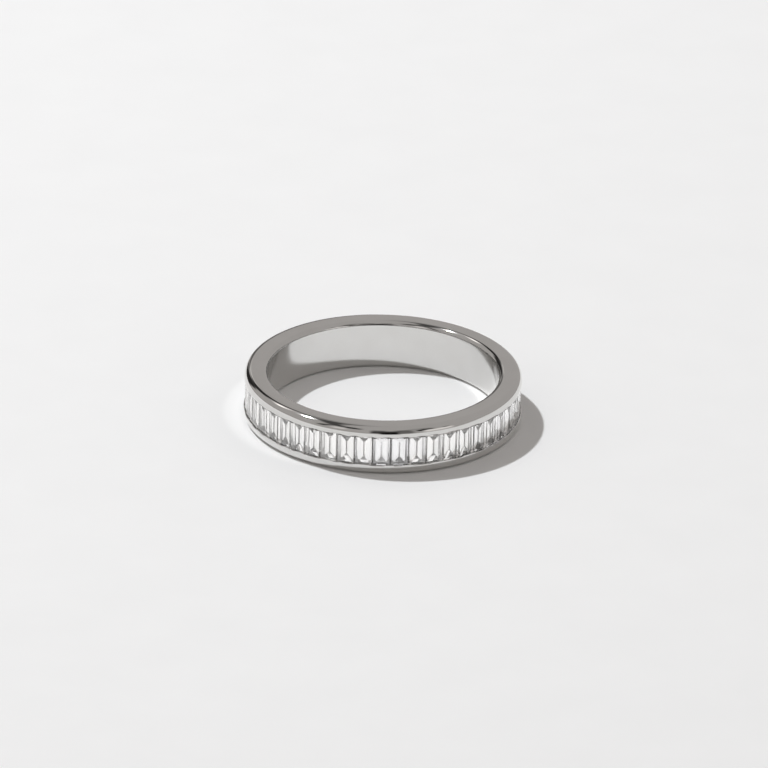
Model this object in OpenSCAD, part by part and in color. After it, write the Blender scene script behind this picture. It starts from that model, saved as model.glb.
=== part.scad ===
// Channel set wedding band, lying on its side, in millimetres.
// The finger hole runs along Z, the band rests on Z = 0, and the origin is the centre of that face.

/* [Band] */
// Inside diameter, a US ring size of 6.5
inner_d = 16.9; // [15.7:0.1:19.8]
// Thickness from the finger side to the outer face of the rails
wall_t = 1.7; // [1.65:0.05:2]
// Width of the band along the finger
band_w = 3.7; // [3.6:0.05:4.5]
// Radius that rounds both outer edges
outer_edge_r = 0.5; // [0.2:0.02:0.5]
// Radius that rounds both edges of the finger hole
inner_edge_r = 0.36; // [0.2:0.02:0.5]

/* [Channel] */
// Opening between the two rails, where the stones show
window_w = 2.2; // [2:0.02:2.3]
// Metal left between the channel floor and the finger
floor_t = 0.7; // [0.5:0.05:0.7]
// Clearance between a stone and the metal round it
seat_gap = 0.05; // [0.04:0.01:0.06]

/* [Stones] */
// Number of baguette stones in the full circle
stone_count = 48; // [44:2:52]
// Clearance between neighbouring stones at the girdle
stone_gap = 0.11; // [0.1:0.01:0.2]
// Length of a stone across the band, with the ends that the rails cover
stone_l = 2.5; // [2.4:0.05:2.6]
// How far the tables lie below the outer face of the rails
table_drop = 0.1; // [0.08:0.01:0.12]
// Height of the crown, from the girdle to the table
crown_h = 0.12; // [0.1:0.01:0.13]
// Thickness of the girdle
girdle_t = 0.05; // [0.03:0.01:0.06]
// Depth of the pavilion, from the girdle to the keel facet
pavilion_h = 0.54; // [0.5:0.01:0.56]

/* [Hidden] */
$fn = 96;
// Radii of the band
inner_r = inner_d / 2;
outer_r = inner_r + wall_t;
floor_r = inner_r + floor_t;
// Overshoot of every cutting shape past the surface that it cuts
cut_over = 1;
// Angle from one stone to the next
stone_step = 360 / stone_count;
// Share of the crown height that the upper step takes, and of the pavilion depth that the upper step takes
crown_split = 0.4;
pavilion_split = 0.42;
// Radii of the levels of a stone, from the table down to the keel facet
table_r = outer_r - table_drop;
crown_r = table_r - crown_split * crown_h;
girdle_top_r = table_r - crown_h;
girdle_low_r = girdle_top_r - girdle_t;
pavilion_r = girdle_low_r - pavilion_split * pavilion_h;
keel_r = girdle_low_r - pavilion_h;
level_r = [table_r, crown_r, girdle_top_r, girdle_low_r, pavilion_r, keel_r];
// Stone width that leaves stone_gap between neighbours
stone_w = 2 * (girdle_low_r * sin(stone_step / 2) - stone_gap / 2) / cos(stone_step / 2);
// Half widths and half lengths of a stone at each level, as shares of the girdle
width_share = [0.88, 0.94, 1, 1, 0.61, 0.1];
length_share = [0.8, 0.9, 1, 1, 0.76, 0.4];
half_w = width_share * stone_w / 2;
half_l = length_share * stone_l / 2;
// A stone is flat, so its corners stand a little further out than its middle
corner_rise = norm([girdle_top_r, stone_w / 2]) - girdle_top_r;
seat_clear = seat_gap + corner_rise;
// Half widths of the channel at its mouth and at the bottom of the seat grooves
mouth_half = window_w / 2;
groove_half = stone_l / 2 + seat_gap;

// Radius of a sloped face of the stone's end at a given half length, between two levels
function end_face_r(at, upper, lower) =
    level_r[upper] + (level_r[lower] - level_r[upper]) * (at - half_l[upper]) / (half_l[lower] - half_l[upper]);

// One side of the channel as [radius, half width] points, from the floor out to the mouth
function channel_side() = [
    [floor_r, mouth_half],
    [end_face_r(mouth_half, 3, 4) - seat_gap, mouth_half],
    [girdle_low_r - seat_gap, groove_half],
    [girdle_top_r + seat_clear, groove_half],
    [end_face_r(mouth_half, 0, 1) + seat_clear, mouth_half],
    [outer_r + cut_over, mouth_half]
];

// Closed outline that mirrors a list of [radius, half width] points
function mirrored(side) = concat(side, [for (i = [len(side) - 1 : -1 : 0]) [side[i][0], -side[i][1]]]);

function levels_with(halves) = [for (i = [0 : len(level_r) - 1]) [level_r[i], halves[i]]];

// Corner of a square that a rounding of radius r takes away, with the corner at the origin
module rounding_cut(r) {
    difference() {
        translate([-cut_over, -cut_over]) square(r + cut_over);
        translate([r, r]) circle(r);
    }
}

// Section of the band in the plane of its axis: X is the radius and Y the width
module band_section() {
    difference() {
        translate([inner_r, 0]) square([wall_t, band_w]);
        for (side = [0, 1]) translate([0, side * band_w]) mirror([0, side]) {
            translate([inner_r, 0]) rounding_cut(inner_edge_r);
            translate([outer_r, 0]) mirror([1, 0]) rounding_cut(outer_edge_r);
        }
        translate([0, band_w / 2]) polygon(mirrored(channel_side()));
    }
}

// One step cut baguette, with its table towards +X and its length along Z
module baguette() {
    intersection() {
        linear_extrude(stone_l + cut_over, center = true) polygon(mirrored(levels_with(half_w)));
        rotate([90, 0, 0]) linear_extrude(stone_w + cut_over, center = true)
            polygon(mirrored(levels_with(half_l)));
    }
}

// Half of the row of stones, from a start angle counter-clockwise
module stone_row(start) {
    translate([0, 0, band_w / 2])
        for (i = [0 : stone_count / 2 - 1]) rotate(start + i * stone_step) baguette();
}

module band() {
    color([0.78, 0.77, 0.75]) rotate_extrude() band_section();
}

module stones_front() {
    color([0.92, 0.94, 0.96]) stone_row(180);
}

module stones_back() {
    color([0.92, 0.94, 0.96]) stone_row(0);
}

band();
stones_front();
stones_back();
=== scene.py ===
"""Looks of a channel set wedding band, laid out as an add-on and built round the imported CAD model.

Everything is in metres in the frame of the CAD model. The finger hole runs along Z, and the band lies on
the plane Z = 0.
"""

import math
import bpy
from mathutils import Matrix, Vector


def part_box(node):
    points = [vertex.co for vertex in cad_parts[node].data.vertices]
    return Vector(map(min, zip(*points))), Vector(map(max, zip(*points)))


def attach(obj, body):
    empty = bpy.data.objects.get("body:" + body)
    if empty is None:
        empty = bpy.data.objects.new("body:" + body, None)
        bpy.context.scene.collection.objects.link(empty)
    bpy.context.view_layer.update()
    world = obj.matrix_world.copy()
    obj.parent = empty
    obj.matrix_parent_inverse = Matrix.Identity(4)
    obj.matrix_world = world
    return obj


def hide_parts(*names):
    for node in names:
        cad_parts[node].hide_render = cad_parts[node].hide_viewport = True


bl_info = {
    "name": "Channel set wedding band",
    "version": (1, 0, 0),
    "blender": (4, 5, 0),
    "location": "3D View > Sidebar > Wedding band",
    "description": "Polished white gold band with a full circle of baguette stones, and its studio",
    "category": "Add Mesh",
}

import bpy
import numpy as np
from bpy.props import FloatProperty, FloatVectorProperty, IntProperty, PointerProperty
from mathutils import Matrix, Vector

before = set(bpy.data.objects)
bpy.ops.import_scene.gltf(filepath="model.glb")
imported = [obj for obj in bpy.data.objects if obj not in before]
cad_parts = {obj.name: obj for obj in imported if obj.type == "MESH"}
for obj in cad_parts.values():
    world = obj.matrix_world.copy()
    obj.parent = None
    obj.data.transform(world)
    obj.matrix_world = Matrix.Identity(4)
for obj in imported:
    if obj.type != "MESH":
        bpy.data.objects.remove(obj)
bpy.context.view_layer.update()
BAND_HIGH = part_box("band")[1]
MM = 0.001
BODY = "root"


# Sizes and colours

def length_property(name, description, default):
    """A length in metres that the sidebar shows with its unit."""
    return FloatProperty(name=name, description=description, default=default, unit="LENGTH", precision=6)


def angle_property(name, description, degrees):
    """An angle, given in degrees."""
    return FloatProperty(name=name, description=description, default=math.radians(degrees), subtype="ANGLE")


def share_property(name, description, default):
    """A plain share from nothing to one."""
    return FloatProperty(name=name, description=description, default=default, min=0, max=1,
                         subtype="FACTOR")


def colour_property(name, description, default):
    """A colour in linear light."""
    return FloatVectorProperty(name=name, description=description, default=default, size=3, min=0, max=1,
                               subtype="COLOR")


class BandSizes(bpy.types.PropertyGroup):
    """Sizes of the metal."""
    outer_radius: length_property("Outer radius", "Radius of the outer face of the rails", BAND_HIGH.x)
    width: length_property("Width", "Width of the band along the finger", BAND_HIGH.z)
    wall: length_property("Wall", "Thickness from the finger side to the outer face of the rails", 1.7 * MM)
    outer_edge: length_property("Outer edge", "Radius that rounds both outer edges", 0.47 * MM)
    dome: length_property("Dome", "Radius of the slight dome between each lip and the outer edge", 0.7 * MM)
    lip_slope: angle_property("Lip slope", "Slope of the dome where it meets the lip", 10)
    edge_slope: angle_property("Edge slope", "Slope of the dome where the outer edge starts", 15)
    inner_edge: length_property("Inner edge", "Radius that rounds both edges of the finger hole", 0.36 * MM)
    mouth: length_property("Mouth", "Opening between the two rails", 2.2 * MM)
    groove: length_property("Groove", "Width of the channel at the bottom of its seat grooves", 2.6 * MM)
    floor: length_property("Floor", "Metal left between the channel floor and the finger", 0.7 * MM)
    lip: length_property("Lip", "Radius that the burnisher leaves on the lip of each rail", 0.02 * MM)
    uneven: length_property("Uneven lips", "How far the burnished lips wander off the stones", 0.035 * MM)
    wave: length_property("Wave", "Height of the slow waves that hand polishing leaves", 0.001 * MM)


class StoneSizes(bpy.types.PropertyGroup):
    """Sizes of the baguette stones."""
    count: IntProperty(name="Count", description="Stones in the full circle", default=48, min=12)
    length: length_property("Length", "Length of a stone across the band", 2.5 * MM)
    gap: length_property("Gap", "Clearance between neighbouring stones at the girdle", 0.04 * MM)
    table_drop: length_property("Table drop", "Depth of the tables below the outer face of the rails",
                                0.1 * MM)
    crown: length_property("Crown", "Height from the girdle to the table", 0.12 * MM)
    girdle: length_property("Girdle", "Thickness of the girdle", 0.05 * MM)
    pavilion: length_property("Pavilion", "Depth from the girdle to the keel facet", 0.54 * MM)
    tilt: angle_property("Tilt", "Largest turn of a stone out of true", 0.9)


class Finishes(bpy.types.PropertyGroup):
    """Colours and polish."""
    metal: colour_property("Metal", "Reflected colour of the white gold", (0.64, 0.638, 0.632))
    metal_deep: colour_property("Metal, deep", "Reflected colour where the alloy looks deeper",
                                (0.62, 0.616, 0.608))
    mirror: share_property("Mirror", "Roughness of the outside, which is polished to a mirror", 0.05)
    satin: share_property("Satin", "Roughness inside the finger hole", 0.12)
    stone: colour_property("Stone", "Body colour of the stones", (0.975, 0.974, 0.97))
    stone_cool: colour_property("Stone, cool", "Body colour of the coolest stones", (0.95, 0.953, 0.975))
    floor: colour_property("Floor", "Colour of the floor", (0.88, 0.88, 0.88))
    # Painted reflection and painted glow: the floor's colour as metal and stones see it, also the colour of
    # its glow
    floor_painted_light: colour_property("Floor, reflected", "Colour of the floor where metal and stones reflect it",
                               (1.0, 0.995, 0.985))


class StageSizes(bpy.types.PropertyGroup):
    """Camera and light."""
    elevation: angle_property("Elevation", "Height of the camera above the horizon", 24.866)
    roll: angle_property("Roll", "Turn of the camera round its line of sight", 1.338)
    distance: length_property("Distance", "From the camera to the middle of the band", 0.8)
    focal_px: FloatProperty(name="Focal length", default=10961.0,
                            description="Focal length in pixels of the square photograph")
    frame_px: FloatProperty(name="Frame", description="Side of the square photograph in pixels",
                            default=768.0)
    middle_px: FloatVectorProperty(name="Middle", description="Pixel that the middle of the band falls on",
                                   default=(382.9, 392.8), size=2)
    key_azimuth: angle_property("Key azimuth", "Direction of the key light, from +X towards +Y", 148.0)
    key_elevation: angle_property("Key elevation", "Height of the key light above the horizon", 60.1)
    key_distance: length_property("Key distance", "From the key light to the band", 0.8)
    key_size: length_property("Key size", "Diameter of the key light", 0.036)
    key_radiance: FloatProperty(name="Key share", description="Radiance that the key adds to the floor",
                                default=0.515)
    key_colour: colour_property("Key colour", "Colour of the key light", (0.95, 0.975, 1.0))
    dome: FloatProperty(name="Dome", description="Radiance of the room round the band", default=0.49)
    dome_colour: colour_property("Dome colour", "Colour of the room round the band", (1.0, 0.955, 0.92))
    # Shares of the key light that the painted glow on the floor stands for
    inside_share: share_property("Inside share",
                                 "Share of the key light that the finger side throws on the floor", 0.52)
    rail_share: share_property("Rail share", "Share of the key light that the rails throw on the floor", 0.34)
    stone_share: share_property("Stone share", "Share of the key light that the stones throw on the floor",
                                0.2)


# Meshes

def link(thing):
    """Puts an object in the scene."""
    bpy.context.scene.collection.objects.link(thing)
    return thing


def mesh_object(name, points, faces, material):
    """Object at the origin whose mesh has these points and faces, with one material."""
    mesh = bpy.data.meshes.new(name)
    mesh.from_pydata(points.reshape(-1, 3).tolist(), [], faces)
    mesh.update()
    mesh.materials.append(material)
    return link(bpy.data.objects.new(name, mesh))


def corner_arc(before, at, after, radius, steps):
    """Rounded corner of an outline.

    It starts and ends radius * tan(turn / 2) from the corner, and its points are its centre plus the radius
    times a direction that turns evenly.
    """
    into, out = at - before, after - at
    into = into / np.linalg.norm(into)
    turn = math.atan2(into[0] * out[1] - into[1] * out[0], into @ out)
    side = np.array([-into[1], into[0]]) * np.sign(turn)
    centre = at - into * radius * math.tan(abs(turn) / 2) + side * radius
    angle = math.atan2(-side[1], -side[0]) + turn * np.linspace(0, 1, steps)
    return centre + radius * np.stack([np.cos(angle), np.sin(angle)], axis=1)


def rounded_outline(corners):
    """Closed outline from rows of (radius, height, fillet, steps)."""
    at = np.array([row[:2] for row in corners], float)
    return np.concatenate([corner_arc(before, here, after, row[2], row[3]) for before, here, after, row
                           in zip(np.roll(at, 1, axis=0), at, np.roll(at, -1, axis=0), corners)])


def divided(outline, longest):
    """The closed outline with points added evenly on every straight run that is longer than longest."""
    after = np.roll(outline, -1, axis=0)
    parts = np.maximum(1, np.ceil(np.linalg.norm(after - outline, axis=1) / longest)).astype(int)
    return np.concatenate([a + (b - a) * np.linspace(0, 1, n, endpoint=False)[:, None]
                           for a, b, n in zip(outline, after, parts)])


def outline_normals(outline):
    """Outward normals of a counter-clockwise closed outline.

    Each is at right angles to the line between the two neighbours of its point.
    """
    run = np.roll(outline, -1, axis=0) - np.roll(outline, 1, axis=0)
    return np.stack([run[:, 1], -run[:, 0]], axis=1) / np.linalg.norm(run, axis=1)[:, None]


def full_circle(steps):
    """Angles spread evenly round the Z axis, from +X."""
    return np.arange(steps) * (2 * math.pi / steps)


# Draw of the polishing waves, number of their sines and height of each
WAVE_SEED, WAVE_SINES, WAVE_HEIGHT = 11, 8, 0.25
# Turns that a wave makes round the band, and its most radians per millimetre along the outline
WAVE_TURNS, WAVE_SLANT = (5, 40), 2.5


def slow_waves(angle, along):
    """Sum of sines over the angle and the way along the outline, which seldom leaves -1 to 1."""
    draw = np.random.default_rng(WAVE_SEED)
    total = np.zeros(np.broadcast(angle, along).shape)
    for _ in range(WAVE_SINES):
        turns = draw.integers(*WAVE_TURNS)
        across = draw.uniform(-WAVE_SLANT, WAVE_SLANT) / MM
        total += WAVE_HEIGHT * np.sin(turns * angle + across * along + draw.uniform(0, 2 * math.pi))
    return total


def lathed_points(outline, steps, wave):
    """Outline (r, h) carried round Z, after each point moves along its normal by the polishing waves.

    x = r cos a, y = r sin a and z = h. The waves are shifted inwards by their height.
    """
    angle = full_circle(steps)
    along = np.cumsum(np.linalg.norm(outline - np.roll(outline, 1, axis=0), axis=1))
    normal = outline_normals(outline)
    lift = wave * (slow_waves(angle[:, None], along[None, :]) - 1)
    radius = outline[None, :, 0] + lift * normal[None, :, 0]
    height = outline[None, :, 1] + lift * normal[None, :, 1]
    return np.stack([radius * np.cos(angle)[:, None], radius * np.sin(angle)[:, None], height], axis=2)


# Depths below the outer face where the seat groove of a rail starts, is widest, narrows again and ends
SEAT_TOP, SEAT_HIGH, SEAT_LOW, SEAT_BOTTOM = 0.0706 * MM, 0.1525 * MM, 0.32 * MM, 0.4334 * MM
# Width of a lip in radii of its rounding, and its depth in depths of the seat groove's start
LIP_WIDTH, LIP_DEPTH = 1.1, 1.2
# Draws of the lower and the upper lip, number of their sines and height of each
LIP_SEEDS, LIP_SINES, LIP_HEIGHT = (21, 22), 6, 1 / 3
# Turns that a lip's sine makes round the band, and the least shift, which is towards the stones
LIP_TURNS, LIP_LEAST = (20, 64), -0.4


def uneven_lips(points, outline, sizes):
    """Moves the lips of both rails along Z by a sum of sines over the angle, with one draw for each lip."""
    angle = full_circle(len(points))
    off = outline[:, 1] - sizes.width / 2
    near_mouth = abs(off) < sizes.mouth / 2 + LIP_WIDTH * sizes.lip
    at_lip = near_mouth & (outline[:, 0] > sizes.outer_radius - LIP_DEPTH * SEAT_TOP)
    for side, seed in zip((-1, 1), LIP_SEEDS):
        draw = np.random.default_rng(seed)
        shift = LIP_HEIGHT * sum(np.sin(draw.integers(*LIP_TURNS) * angle + draw.uniform(0, 2 * math.pi))
                                 for _ in range(LIP_SINES))
        moved = side * sizes.uneven * np.clip(shift, LIP_LEAST, 1)
        points[:, at_lip & (off * side > 0), 2] += moved[:, None]


def ring_faces(steps, across):
    """Quads of a closed grid, steps round and across over the outline, turned so that they point outwards."""
    i, j = np.meshgrid(np.arange(steps), np.arange(across), indexing="ij")
    a, b = i * across + j, i * across + (j + 1) % across
    c, d = ((i + 1) % steps) * across + (j + 1) % across, ((i + 1) % steps) * across + j
    return np.stack([a, d, c, b], axis=2).reshape(-1, 4).tolist()


# Radius of the small roundings inside the channel
SEAM = 0.012 * MM
# Points on each rounding of the section
LIP_STEPS, DOME_STEPS, EDGE_STEPS, SEAM_STEPS, FLOOR_STEPS = 5, 9, 16, 2, 3
# Longest straight run of the band's section, and steps round the band
LONGEST_RUN, BAND_STEPS = 0.3 * MM, 720


def rail_corners(sizes):
    """Lip, crest and edge of a rail as (depth below the outer radius, distance from the side of the band).

    The dome is an arc that touches the outer radius. The lip and the edge lie on its end tangents, which meet
    in the crest.
    """
    rail, radius, near, far = (sizes.width - sizes.mouth) / 2, sizes.dome, sizes.lip_slope, sizes.edge_slope
    start = rail - LIP_WIDTH * sizes.lip
    depth, reach = radius * (1 - math.cos(near)), radius * math.tan((near + far) / 2)
    lip = (depth + (rail - start) * math.tan(near), rail)
    crest = (depth - reach * math.sin(near), start - reach * math.cos(near))
    return lip, crest, (crest[0] + crest[1] * math.tan(far), 0)


def band_outline(sizes):
    """Section of the band as (radius, height), counter-clockwise, from the side that it lies on."""
    inner, outer, width = sizes.outer_radius - sizes.wall, sizes.outer_radius, sizes.width
    middle, mouth, groove = width / 2, sizes.mouth / 2, sizes.groove / 2
    rail = [(outer - depth, off) for depth, off in rail_corners(sizes)]
    finish = [(sizes.lip, LIP_STEPS), (sizes.dome, DOME_STEPS), (sizes.outer_edge, EDGE_STEPS)]
    side = [
        (outer - SEAT_TOP, mouth, SEAM, SEAM_STEPS),
        (outer - SEAT_HIGH, groove, SEAM, SEAM_STEPS),
        (outer - SEAT_LOW, groove, SEAM, SEAM_STEPS),
        (outer - SEAT_BOTTOM, mouth, SEAM, SEAM_STEPS),
        (inner + sizes.floor, mouth, SEAM, FLOOR_STEPS),
    ]
    return rounded_outline([
        (inner, 0, sizes.inner_edge, EDGE_STEPS),
        *[(r, off, *how) for (r, off), how in reversed(list(zip(rail, finish)))],
        *[(r, middle - half, *how) for r, half, *how in side],
        *[(r, middle + half, *how) for r, half, *how in reversed(side)],
        *[(r, width - off, *how) for (r, off), how in zip(rail, finish)],
        (inner, width, sizes.inner_edge, EDGE_STEPS),
    ])


# Levels of a baguette: share of the crown height or pavilion depth, half width share, half length share
CROWN_LEVELS = [(1.0, 0.94, 0.8), (0.6, 0.97, 0.9), (0.0, 1.0, 1.0)]
PAVILION_LEVELS = [(0.0, 1.0, 1.0), (0.42, 0.61, 0.76), (1.0, 0.1, 0.4)]
# Places of the two half sizes of a level
WIDTH, LENGTH = 0, 1
# How far the stones differ from one another: level from the table down, half size, and largest share
STONE_DIFFERENCES = [
    (0, WIDTH, 0.02),
    (0, LENGTH, 0.02),
    (4, WIDTH, 0.06),
    (4, LENGTH, 0.05),
    (5, LENGTH, 0.16),
]
# The stones' draw, the numbers drawn for each stone, and the two of these that turn it
STONE_SEED, STONE_DRAWS, SPIN_DRAW, LEAN_DRAW = 5, 8, 5, 6


def turned(first, second, angle):
    """Two coordinates after a turn in their plane."""
    cos, sin = np.cos(angle), np.sin(angle)
    return first * cos - second * sin, first * sin + second * cos


def baguette_points(sizes, index):
    """Points of the stones with these places in the row, as an array of stones by levels by four corners.

    A level is a rectangle at a radius r, with half sizes u round the band and w along it. A stone stands
    square to its own radius but for a small spin and lean round its girdle. x and y are r and u turned by the
    stone's angle, and z is the middle of the band plus w.
    """
    draw = np.random.default_rng(STONE_SEED)
    vary = draw.uniform(-1, 1, (sizes.count, STONE_DRAWS))[index]
    step = 2 * math.pi / sizes.count
    girdle_top = BAND_HIGH.x - sizes.table_drop - sizes.crown
    girdle_low = girdle_top - sizes.girdle
    half_width = (girdle_low * math.sin(step / 2) - sizes.gap / 2) / math.cos(step / 2)
    radius = [girdle_top + sizes.crown * level[0] for level in CROWN_LEVELS]
    radius += [girdle_low - sizes.pavilion * level[0] for level in PAVILION_LEVELS]
    shares = np.array([level[1:] for level in CROWN_LEVELS + PAVILION_LEVELS])
    halves = np.tile(shares * (half_width, sizes.length / 2), (len(index), 1, 1))
    for (level, side, most), drawn in zip(STONE_DIFFERENCES, vary.T):
        halves[:, level, side] *= 1 + most * drawn
    u = halves[:, :, WIDTH, None] * np.array([-1, 1, 1, -1])
    w = halves[:, :, LENGTH, None] * np.array([-1, -1, 1, 1])
    r = np.array(radius)[None, :, None] - girdle_low + 0 * u
    r, u = turned(r, u, sizes.tilt * vary[:, SPIN_DRAW, None, None])
    r, w = turned(r, w, sizes.tilt * vary[:, LEAN_DRAW, None, None])
    x, y = turned(r + girdle_low, u, (math.pi + index * step)[:, None, None])
    return np.stack([x, y, BAND_HIGH.z / 2 + w], axis=3)


def baguette_faces(stones, levels):
    """Faces of each stone: the table, four sides between neighbouring levels, and the keel facet."""
    base = 4 * np.arange(levels - 1)[:, None]
    corner, following = np.arange(4)[None, :], (np.arange(4)[None, :] + 1) % 4
    sides = np.stack([base + corner, base + 4 + corner, base + 4 + following, base + following], axis=2)
    last = 4 * (levels - 1)
    one = np.concatenate([[[0, 1, 2, 3]], sides.reshape(-1, 4), [[last + 3, last + 2, last + 1, last]]])
    return (one[None] + (4 * levels * np.arange(stones))[:, None, None]).reshape(-1, 4).tolist()


# Light that the band throws on the floor, painted on it as a glow

# Half side and points of the fine grid under the band, width of its faded edge, and reach of the whole floor
FINE_HALF, FINE_POINTS, FINE_FADE, FLOOR_REACH = 16 * MM, 257, 2 * MM, 4.0
# Blur of the thrown light, and angles that it is worked out at
THROWN_BLUR, THROWN_STEPS = 0.2 * MM, 1440
# Longest run of the section that throws light, parts of such a run, and strips over the stones
MIRROR_RUN, MIRROR_PARTS, STONE_STRIPS = 0.05 * MM, 8, 64
# Steepest lean of a strip that still throws its light near the band, and least fall of a ray, as sines
STEEPEST, LEAST_FALL = math.sin(math.radians(15)), 0.001


def mirror_strips(sizes, stones, stage):
    """Strips of the band's section that throw light, as radius, height, normal (2), length and thrown share.

    They are the upright parts of the finger side and of the rails, with normals blended between the corners
    of the section, and upright strips at the tables of the stones.
    """
    outline = divided(band_outline(sizes), MIRROR_RUN)
    corner = np.concatenate([outline, outline_normals(outline)], axis=1)
    run = np.roll(corner, -1, axis=0) - corner
    way = (np.arange(MIRROR_PARTS) + 0.5)[:, None, None] / MIRROR_PARTS
    strips = (corner + run * way).reshape(-1, 4)
    length = np.tile(np.linalg.norm(run[:, :2], axis=1) / MIRROR_PARTS, MIRROR_PARTS)
    inside = strips[:, 0] < sizes.outer_radius - sizes.wall + sizes.inner_edge
    rail = (strips[:, 0] > sizes.outer_radius - SEAT_TOP) & (strips[:, 2] > 0)
    used = (inside | rail) & (abs(strips[:, 3]) < STEEPEST)
    share = np.where(inside, stage.inside_share, stage.rail_share)
    metal = np.column_stack([strips, length, share])[used]
    table = [sizes.outer_radius - stones.table_drop, 0, 1, 0, sizes.mouth / STONE_STRIPS, stage.stone_share]
    window = np.tile(table, (STONE_STRIPS, 1))
    window[:, 1] = sizes.width / 2 + sizes.mouth * ((np.arange(STONE_STRIPS) + 0.5) / STONE_STRIPS - 0.5)
    return np.concatenate([metal, window])


def painted_thrown_light(strips, sizes, stage, line):
    """Painted light that the band throws on the floor, as a share of what the key light gives, on a square
    grid.

    A ray k of the key light that falls on a strip with normal n leaves as k - 2 (k . n) n and lands where its
    height is nothing. Each strip's share of the light, at each angle, is added to the cell that it lands in,
    and the grid is blurred by a bell curve. Rays that the band stops on the way in or out are left out.
    """
    angle = full_circle(THROWN_STEPS)[:, None]
    radius, height, out_normal, up_normal, length, share = (column[None, :] for column in strips.T)
    ray = -np.array(toward(stage.key_azimuth, stage.key_elevation))
    outward = ray[0] * np.cos(angle) + ray[1] * np.sin(angle)
    facing = -(outward * out_normal + ray[2] * up_normal)
    gone_x = ray[0] + 2 * facing * out_normal * np.cos(angle)
    gone_y = ray[1] + 2 * facing * out_normal * np.sin(angle)
    gone_z = ray[2] + 2 * facing * up_normal
    fall = height / np.maximum(-gone_z, LEAST_FALL)
    x, y = radius * np.cos(angle) + fall * gone_x, radius * np.sin(angle) + fall * gone_y
    inside = out_normal < 0
    chord = 2 * radius * abs(outward) / math.cos(stage.key_elevation)
    over_the_far_wall = height + chord * math.tan(stage.key_elevation) > sizes.width
    reaches_in = (outward > 0) & over_the_far_wall & (np.hypot(x, y) < radius)
    lands = (facing > 0) & (gone_z < -LEAST_FALL) & np.where(inside, reaches_in, np.hypot(x, y) > radius)
    given = facing * radius * length * share * (2 * math.pi / THROWN_STEPS)
    pitch = line[1] - line[0]
    edges = np.append(line - pitch / 2, line[-1] + pitch / 2)
    cells = np.histogram2d(x[lands], y[lands], bins=(edges, edges), weights=given[lands])[0]
    blur = np.exp(-((line[:, None] - line[None, :]) / THROWN_BLUR) ** 2 / 2)
    blur /= blur[len(line) // 2].sum()
    fade = np.clip((FINE_HALF - abs(line)) / FINE_FADE, 0, 1)
    return blur @ cells @ blur / (pitch ** 2 * math.sin(stage.key_elevation)) * fade[:, None] * fade


def floor_board(share, line, material):
    """Floor with a fine square grid under the band, whose points hold the painted glow of the light that the
    band throws.
    """
    line = np.concatenate([[-FLOOR_REACH], line, [FLOOR_REACH]])
    x, y = np.meshgrid(line, line, indexing="ij")
    n = len(line)
    i, j = np.meshgrid(np.arange(n - 1), np.arange(n - 1), indexing="ij")
    corner = i * n + j
    faces = np.stack([corner, corner + n, corner + n + 1, corner + 1], axis=2).reshape(-1, 4).tolist()
    floor = mesh_object("floor", np.stack([x, y, 0 * x], axis=2), faces, material)
    held = floor.data.attributes.new("painted_thrown_light", "FLOAT", "POINT")
    held.data.foreach_set("value", np.pad(share, 1).ravel().astype(np.float32))
    return floor


# Nodes

def set_inputs(tree, node, values):
    """Sets each named or numbered input of a node to a value, or links it to a socket."""
    for name, value in values.items():
        if isinstance(value, bpy.types.NodeSocket):
            tree.links.new(value, node.inputs[name])
        else:
            node.inputs[name].default_value = value


def add_node(tree, kind, inputs=None, **settings):
    """New node with its settings and its inputs."""
    made = tree.nodes.new(kind)
    for name, value in settings.items():
        setattr(made, name, value)
    set_inputs(tree, made, inputs or {})
    return made


def math_node(tree, operation, *values):
    """Output of a Math node."""
    return add_node(tree, "ShaderNodeMath", dict(enumerate(values)), operation=operation).outputs[0]


def vector_node(tree, operation, inputs, output=0):
    """Output of a Vector Math node."""
    return add_node(tree, "ShaderNodeVectorMath", inputs, operation=operation).outputs[output]


def mixed(tree, share, first, second):
    """Colour between two colours."""
    return add_node(tree, "ShaderNodeMix", {0: share, 6: first, 7: second}, data_type="RGBA").outputs[2]


def noise(tree, place, scale, detail):
    """Cloudy value from nothing to one, about a half."""
    inputs = {"Vector": place, "Scale": scale, "Detail": detail}
    return add_node(tree, "ShaderNodeTexNoise", inputs).outputs[0]


def spread(tree, value, low, high, to_low, to_high, smooth=False):
    """Value brought from one span to another and kept inside it."""
    made = add_node(tree, "ShaderNodeMapRange", {0: value, 1: low, 2: high, 3: to_low, 4: to_high})
    made.interpolation_type = "SMOOTHSTEP" if smooth else "LINEAR"
    return made.outputs[0]


def soft_step(tree, value, at, edge, falling):
    """Smooth step from nothing to one, or the other way, that is half done at one value."""
    before = math_node(tree, "SUBTRACT", at, edge)
    after = math_node(tree, "ADD", at, edge)
    ends = (1.0, 0.0) if falling else (0.0, 1.0)
    return spread(tree, value, before, after, *ends, smooth=True)


def object_place(tree):
    """Point of the surface in the piece's own coordinates."""
    return add_node(tree, "ShaderNodeTexCoord").outputs["Object"]


def axis_distance(tree, place):
    """Distance of a point from the axis of the finger hole."""
    axes = add_node(tree, "ShaderNodeSeparateXYZ", {0: place}).outputs
    squares = [math_node(tree, "POWER", axes[i], 2.0) for i in (0, 1)]
    return math_node(tree, "SQRT", math_node(tree, "ADD", *squares))


def new_group(name, inputs, outputs):
    """Shader node group with inputs (name: kind and default) and outputs (name: kind).

    It comes with the sockets that its inputs give and its output node.
    """
    group = bpy.data.node_groups.new(name, "ShaderNodeTree")
    for socket, (kind, default) in inputs.items():
        made = group.interface.new_socket(name=socket, in_out="INPUT", socket_type=kind)
        if default is not None:
            made.default_value = default
    for socket, kind in outputs.items():
        group.interface.new_socket(name=socket, in_out="OUTPUT", socket_type=kind)
    return group, group.nodes.new("NodeGroupInput").outputs, group.nodes.new("NodeGroupOutput")


def group_node(tree, group, inputs=None):
    """Outputs of the group placed in a tree."""
    return add_node(tree, "ShaderNodeGroup", inputs, node_tree=group).outputs


def opaque(colour):
    """Colour with full alpha."""
    return (*colour, 1.0)
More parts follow.
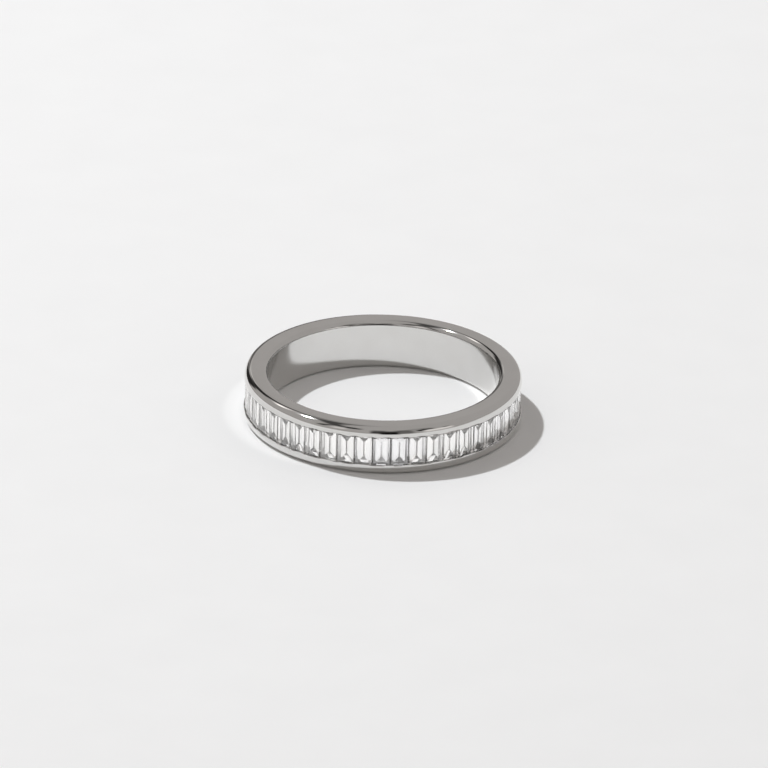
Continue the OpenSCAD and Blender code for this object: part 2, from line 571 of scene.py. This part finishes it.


# Studio

# Parts of the room that differ from its grey tone, as azimuth, half width, lower and upper elevation and soft
# edge, all in degrees, and their radiance. A dark part that reaches below the horizon also paints shade into
# the floor that the band reflects there.
ROOM_PATCHES = [
    # Behind the band, and behind it on the left
    (98.5, 7, -16, 22, 1.5, 0.15),
    (118, 10, 4, 29, 3, 0.03),
    (125.5, 8, 2, 26, 3, 0.03),
    (107, 15, 27, 39.5, 2.5, 0.03),
    (128, 12, 43.5, 49.5, 2.5, 1.8),
    (145, 3, 57, 62.5, 1.5, 4.0),
    (94.5, 2, 24, 27, 0.8, 0.8),
    # In front on the left
    (218.5, 4, 16, 50, 2.5, 0.07),
    (232, 8, 46, 62, 3, 0.05),
    (243, 7, 38, 55, 3, 0.03),
    (234, 6, 12, 36, 3, 0.8),
    # In front, round the camera
    (289, 7, 2, 44, 4, 0.17),
    (267, 6, 14, 40, 3, 0.13),
    (277, 8, 14, 31, 3, 0.11),
    (266, 5, 4, 15, 2, 0.05),
    (276, 7.5, -3, 16, 2.5, 0.012),
    # In front on the right
    (308, 10, 40, 55, 4, 0.32),
    (310, 5.5, 24, 40, 3, 0.09),
    (303.5, 4.5, 11, 33, 2, 0.012),
    (316, 12, 3, 19, 3, 1.0),
    (325, 2.5, 20, 32, 2, 0.15),
]
# Radiance under which a part of the room counts as dark
DARK = 0.5
# Dark boom across the room: azimuth and elevation of the pole of its great circle, half width, azimuth and
# elevation of its middle, reach to both sides and soft edge, all in degrees, and its radiance
BOOM, BOOM_RADIANCE = (341.6, 20, 5, 160, 69, 36, 3), 0.08
# Radiance of the backdrop that the camera sees
BACKDROP = 0.86


def toward(azimuth, elevation):
    """Unit vector to a direction."""
    return Vector((math.cos(elevation) * math.cos(azimuth), math.cos(elevation) * math.sin(azimuth),
                   math.sin(elevation)))


def patch_group():
    """How deep a direction lies in a part of the room that spans an azimuth and an elevation."""
    group, given, result = new_group(
        "room_patch",
        {"Direction": ("NodeSocketVector", None), "Azimuth": ("NodeSocketFloat", 0.0),
         "Half width": ("NodeSocketFloat", 0.5), "Low": ("NodeSocketFloat", 0.0),
         "High": ("NodeSocketFloat", 0.5), "Edge": ("NodeSocketFloat", 0.05)},
        {"Mask": "NodeSocketFloat"})
    back = math_node(group, "MULTIPLY", given["Azimuth"], -1.0)
    ahead = add_node(group, "ShaderNodeVectorRotate", {"Vector": given["Direction"], "Angle": back},
                     rotation_type="Z_AXIS").outputs[0]
    axes = add_node(group, "ShaderNodeSeparateXYZ", {0: ahead}).outputs
    away = math_node(group, "ABSOLUTE", math_node(group, "ARCTAN2", axes[1], axes[0]))
    height = math_node(group, "ARCSINE", axes[2])
    beside = soft_step(group, away, given["Half width"], given["Edge"], True)
    above = soft_step(group, height, given["Low"], given["Edge"], False)
    below = soft_step(group, height, given["High"], given["Edge"], True)
    mask = math_node(group, "MULTIPLY", beside, math_node(group, "MULTIPLY", above, below))
    group.links.new(mask, result.inputs[0])
    return group


def patch_masks(tree, direction, rows):
    """Mask and radiance of each of these parts of the room."""
    patch = bpy.data.node_groups.get("room_patch") or patch_group()
    masks = []
    for *angles, radiance in rows:
        azimuth, half, low, high, edge = (math.radians(v) for v in angles)
        inputs = {"Direction": direction, "Azimuth": azimuth, "Half width": half, "Low": low, "High": high,
                  "Edge": edge}
        masks.append((group_node(tree, patch, inputs)[0], radiance))
    return masks


def boom_mask(tree, direction):
    """How deep a direction lies in the boom, a band along a great circle, near the middle of the band."""
    pole_azimuth, pole_height, half, azimuth, height, reach, edge = (math.radians(v) for v in BOOM)

    def angle_to(azimuth, height):
        along = vector_node(tree, "DOT_PRODUCT", {0: direction, 1: toward(azimuth, height)}, "Value")
        return math_node(tree, "ARCCOSINE", along)

    from_circle = math_node(tree, "SUBTRACT", angle_to(pole_azimuth, pole_height), math.pi / 2)
    across = soft_step(tree, math_node(tree, "ABSOLUTE", from_circle), half, edge, True)
    return math_node(tree, "MULTIPLY", across, soft_step(tree, angle_to(azimuth, height), reach, edge, True))


def room_light(stage):
    """World of one grey tone with its dark and bright parts, which the camera itself sees as a backdrop."""
    world = bpy.data.worlds.new("room")
    world.use_nodes = True
    tree = world.node_tree
    tree.nodes.clear()
    direction = add_node(tree, "ShaderNodeTexCoord").outputs["Generated"]
    masks = patch_masks(tree, direction, ROOM_PATCHES)
    masks.append((boom_mask(tree, direction), BOOM_RADIANCE))
    level = stage.dome
    for mask, radiance in masks:
        level = spread(tree, mask, 0.0, 1.0, level, radiance)
    seen = add_node(tree, "ShaderNodeLightPath").outputs["Is Camera Ray"]
    shown = spread(tree, seen, 0.0, 1.0, level, BACKDROP)
    back = add_node(tree, "ShaderNodeBackground", {"Color": opaque(stage.dome_colour), "Strength": shown})
    add_node(tree, "ShaderNodeOutputWorld", {"Surface": back.outputs[0]})
    bpy.context.scene.world = world


def key_light(stage, floor):
    """Small round lamp whose light adds the wanted radiance to a floor of this colour."""
    lamp = bpy.data.lights.new("key", "AREA")
    lamp.shape = "DISK"
    lamp.size = stage.key_size
    lamp.color = stage.key_colour
    wanted = stage.key_radiance * math.pi / floor / math.sin(stage.key_elevation)
    lamp.energy = wanted * stage.key_distance ** 2 * math.pi
    made = link(bpy.data.objects.new("key", lamp))
    back = toward(stage.key_azimuth, stage.key_elevation)
    made.location = back * stage.key_distance
    made.rotation_euler = back.to_track_quat("Z", "Y").to_euler()


def camera(stage, middle):
    """Camera at the photograph's angle, aimed so that the middle of the band falls on its pixel."""
    back = Vector((0, -math.cos(stage.elevation), math.sin(stage.elevation)))
    right = Vector((1, 0, 0))
    up = back.cross(right)
    turn_right = right * math.cos(stage.roll) + up * math.sin(stage.roll)
    turn_up = up * math.cos(stage.roll) - right * math.sin(stage.roll)
    half = stage.frame_px / 2
    off_right = (half - stage.middle_px[0]) / stage.focal_px
    off_up = (stage.middle_px[1] - half) / stage.focal_px
    aimed = (back - turn_right * off_right - turn_up * off_up).normalized()
    side = turn_up.cross(aimed).normalized()
    data = bpy.data.cameras.new("camera")
    data.sensor_width = 36.0
    data.lens = stage.focal_px / stage.frame_px * data.sensor_width
    data.clip_start, data.clip_end = 0.01, 50.0
    made = link(bpy.data.objects.new("camera", data))
    axes = Matrix((side, aimed.cross(side), aimed)).transposed().to_4x4()
    made.matrix_world = Matrix.Translation(middle + back * stage.distance) @ axes
    bpy.context.scene.camera = made


# Materials

# Scale of the hairlines' noise along X, Y and Z, its detail and its roughness
HAIRLINE_STRETCH, HAIRLINE_DETAIL, HAIRLINE_ROUGHNESS = (0.03, 0.03, 1.0), 3.0, 0.6
# Spans of the noises that the metal's colour and its roughness follow
METAL_PATCHES, METAL_HAIRLINES = (0.35, 0.65), (0.3, 0.7)
# Least and most that the hairlines multiply the metal's roughness by
POLISH_SPREAD = (0.88, 1.15)
# Distances outwards from the finger side between which the satin gives way to the mirror
SATIN_FADE = (0.02 * MM, 0.2 * MM)
# Hairlines and patches per metre on the stones
STONE_LINES, STONE_PATCHES = 20000.0, 350.0
# Spans of the noises that the stones' tint and roughness follow
STONE_TINTS, STONE_HAIRLINES = (0.5, 0.65), (0.4, 0.7)
# Least and most roughness of the stones, and the refractive index of diamond
STONE_ROUGHNESS, DIAMOND_IOR = (0.0, 0.012), 2.417
# Clouds and tooth of the floor per metre
CLOUDS, TOOTH = 180.0, 2600.0
# Span of the noise that the clouds follow, and tone of the darkest as a share of the floor's
CLOUD_SPAN, CLOUD_SHADE = (0.3, 0.7), 0.985


def polishing_marks_group():
    """Hairlines that run round the band, and cloudy patches, from the piece's Object coordinates.

    The noise is read in four directions: X and Y slowly, Z and the distance from the axis quickly, so that it
    stretches round the band on every face.
    """
    group, given, result = new_group(
        "polishing_marks",
        {"Hairlines per metre": ("NodeSocketFloat", 9000.0), "Patches per metre": ("NodeSocketFloat", 500.0)},
        {"Hairlines": "NodeSocketFloat", "Patches": "NodeSocketFloat"})
    place = object_place(group)
    radius = axis_distance(group, place)
    stretched = vector_node(group, "MULTIPLY", {0: place, 1: HAIRLINE_STRETCH})
    lines = add_node(group, "ShaderNodeTexNoise", {
        "Vector": vector_node(group, "SCALE", {0: stretched, "Scale": given[0]}),
        "W": math_node(group, "MULTIPLY", radius, given[0]),
        "Scale": 1.0, "Detail": HAIRLINE_DETAIL, "Roughness": HAIRLINE_ROUGHNESS},
        noise_dimensions="4D").outputs[0]
    group.links.new(lines, result.inputs[0])
    group.links.new(noise(group, place, given[1], detail=2.0), result.inputs[1])
    return group


def shared_marks():
    """The group of polishing marks, made the first time that a material needs it."""
    return bpy.data.node_groups.get("polishing_marks") or polishing_marks_group()


def new_material(name):
    """Material with only an output and a Principled BSDF that feeds it."""
    material = bpy.data.materials.new(name)
    material.use_nodes = True
    tree = material.node_tree
    tree.nodes.clear()
    shader = tree.nodes.new("ShaderNodeBsdfPrincipled")
    add_node(tree, "ShaderNodeOutputMaterial", {"Surface": shader.outputs[0]})
    return material, tree, shader


def white_gold(finishes, sizes):
    """Polished white gold: a mirror outside and a softer polish inside the finger hole."""
    material, tree, shader = new_material("white_gold_polished")
    lines, patches = group_node(tree, shared_marks())[:2]
    radius = axis_distance(tree, object_place(tree))
    inner = sizes.outer_radius - sizes.wall
    inside = spread(tree, radius, inner + SATIN_FADE[0], inner + SATIN_FADE[1], 1.0, 0.0, smooth=True)
    polish = spread(tree, inside, 0.0, 1.0, finishes.mirror, finishes.satin)
    streaks = spread(tree, lines, *METAL_HAIRLINES, *POLISH_SPREAD)
    deep = spread(tree, patches, *METAL_PATCHES, 0.0, 1.0)
    bump = add_node(tree, "ShaderNodeBump", {"Height": lines, "Strength": 0.2, "Distance": 0.0002 * MM})
    set_inputs(tree, shader, {
        "Base Color": mixed(tree, deep, opaque(finishes.metal), opaque(finishes.metal_deep)),
        "Metallic": 1.0, "Roughness": math_node(tree, "MULTIPLY", polish, streaks),
        "Normal": bump.outputs[0]})
    return material


def diamond(finishes):
    """Clear stone with a bright polish, faint polishing lines and a little cool tint in some stones."""
    material, tree, shader = new_material("diamond_clear")
    lines, patches = group_node(tree, shared_marks(), {0: STONE_LINES, 1: STONE_PATCHES})[:2]
    cool = spread(tree, patches, *STONE_TINTS, 0.0, 1.0, smooth=True)
    set_inputs(tree, shader, {
        "Base Color": mixed(tree, cool, opaque(finishes.stone), opaque(finishes.stone_cool)),
        "Metallic": 0.0, "Roughness": spread(tree, lines, *STONE_HAIRLINES, *STONE_ROUGHNESS),
        "IOR": DIAMOND_IOR, "Transmission Weight": 1.0})
    return material


def pale_floor(finishes, stage):
    """Smooth matt board with a very fine tooth, which also shows the light that the band throws on it as a
    painted glow.

    Metal and stones see a painted reflection of it: paler than the camera sees it, and painted darker
    where a dark part of the room reaches below the horizon, by the direction from the top of the band to
    the point of the floor.
    """
    material, tree, shader = new_material("floor_board")
    place = object_place(tree)
    cloudy = spread(tree, noise(tree, place, CLOUDS, detail=4.0), *CLOUD_SPAN, 0.0, 1.0)
    seen = mixed(tree, cloudy, opaque(finishes.floor), opaque([CLOUD_SHADE * c for c in finishes.floor]))
    from_top = vector_node(tree, "SUBTRACT", {0: place, 1: (0, 0, BAND_HIGH.z)})
    direction = vector_node(tree, "NORMALIZE", {0: from_top})
    # Painted shade in the reflection: the floor that metal and stones see darkens under dark parts of the
    # room
    below_horizon = [row for row in ROOM_PATCHES if row[2] < 0 and row[5] < DARK]
    reflected = opaque(finishes.floor_painted_light)
    for mask, radiance in patch_masks(tree, direction, below_horizon):
        reflected = mixed(tree, mask, reflected, opaque([radiance] * 3))
    # Painted reflection: only the camera sees the floor's own colour
    by_camera = add_node(tree, "ShaderNodeLightPath").outputs["Is Camera Ray"]
    tooth = noise(tree, place, TOOTH, detail=3.0)
    bump = add_node(tree, "ShaderNodeBump", {"Height": tooth, "Strength": 0.15, "Distance": 0.01 * MM})
    # Painted glow: the light that the band throws on the floor, given as emission
    thrown = add_node(tree, "ShaderNodeAttribute", attribute_name="painted_thrown_light").outputs["Fac"]
    set_inputs(tree, shader, {
        "Base Color": mixed(tree, by_camera, reflected, seen), "Roughness": 0.9, "Specular IOR Level": 0.0,
        "Normal": bump.outputs[0], "Emission Color": opaque(finishes.floor_painted_light),
        "Emission Strength": math_node(tree, "MULTIPLY", thrown, stage.key_radiance)})
    return material


# Operators

class WEDDINGBAND_OT_metal(bpy.types.Operator):
    """Build the white gold band over its CAD solid"""
    bl_idname = "wedding_band.metal"
    bl_label = "White gold band"

    def execute(self, context):
        sizes, finishes = context.scene.band_sizes, context.scene.band_finishes
        outline = divided(band_outline(sizes), LONGEST_RUN)
        points = lathed_points(outline, BAND_STEPS, sizes.wave)
        uneven_lips(points, outline, sizes)
        faces = ring_faces(BAND_STEPS, len(outline))
        piece = mesh_object("white_gold_band", points, faces, white_gold(finishes, sizes))
        piece.data.shade_smooth()
        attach(piece, BODY)
        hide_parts("band")
        return {"FINISHED"}


class WEDDINGBAND_OT_stones(bpy.types.Operator):
    """Build both halves of the row of baguette stones over their CAD solids"""
    bl_idname = "wedding_band.stones"
    bl_label = "Baguette stones"

    def execute(self, context):
        sizes, finishes = context.scene.stone_sizes, context.scene.band_finishes
        material = diamond(finishes)
        half = sizes.count // 2
        for name, node, first in (("baguettes_front", "stones_front", 0),
                                  ("baguettes_back", "stones_back", half)):
            points = baguette_points(sizes, np.arange(first, first + half))
            piece = mesh_object(name, points, baguette_faces(half, points.shape[1]), material)
            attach(piece, BODY)
            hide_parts(node)
        return {"FINISHED"}


class WEDDINGBAND_OT_stage(bpy.types.Operator):
    """Build the floor, the light and the camera"""
    bl_idname = "wedding_band.stage"
    bl_label = "Studio"

    def execute(self, context):
        scene = context.scene
        sizes, stage, finishes = scene.band_sizes, scene.band_stage, scene.band_finishes
        line = np.linspace(-FINE_HALF, FINE_HALF, FINE_POINTS)
        # Painted glow of the light that the band throws, held by the floor's grid
        share = painted_thrown_light(mirror_strips(sizes, scene.stone_sizes, stage), sizes, stage, line)
        floor = floor_board(share, line, pale_floor(finishes, stage))
        key_light(stage, finishes.floor[0])
        room_light(stage)
        camera(stage, Vector((0, 0, BAND_HIGH.z / 2)))
        scene.view_settings.view_transform = "Standard"
        scene.cycles.max_bounces = 24
        scene.cycles.glossy_bounces = 16
        scene.cycles.transmission_bounces = 24
        return {"FINISHED"}


class WEDDINGBAND_PT_sidebar(bpy.types.Panel):
    """Builders and sizes of the wedding band"""
    bl_idname = "WEDDINGBAND_PT_sidebar"
    bl_label = "Wedding band"
    bl_space_type = "VIEW_3D"
    bl_region_type = "UI"
    bl_category = "Wedding band"

    def draw(self, context):
        for name in BUILD_ORDER:
            self.layout.operator("wedding_band." + name)
        for group in GROUPS:
            box = self.layout.box()
            for name in getattr(context.scene, group).__annotations__:
                box.prop(getattr(context.scene, group), name)


BUILD_ORDER = ("metal", "stones", "stage")
GROUPS = {
    "band_sizes": BandSizes,
    "stone_sizes": StoneSizes,
    "band_finishes": Finishes,
    "band_stage": StageSizes,
}
CLASSES = (*GROUPS.values(), WEDDINGBAND_OT_metal, WEDDINGBAND_OT_stones, WEDDINGBAND_OT_stage,
           WEDDINGBAND_PT_sidebar)


def register():
    """Registers the classes and gives the scene its groups of sizes."""
    for item in CLASSES:
        bpy.utils.register_class(item)
    for name, group in GROUPS.items():
        setattr(bpy.types.Scene, name, PointerProperty(type=group))


def unregister():
    """Takes the groups and classes away again."""
    for name in GROUPS:
        delattr(bpy.types.Scene, name)
    for item in reversed(CLASSES):
        bpy.utils.unregister_class(item)


def main():
    """Builds everything."""
    register()
    for name in BUILD_ORDER:
        getattr(bpy.ops.wedding_band, name)()


if __name__ == "__main__":
    main()
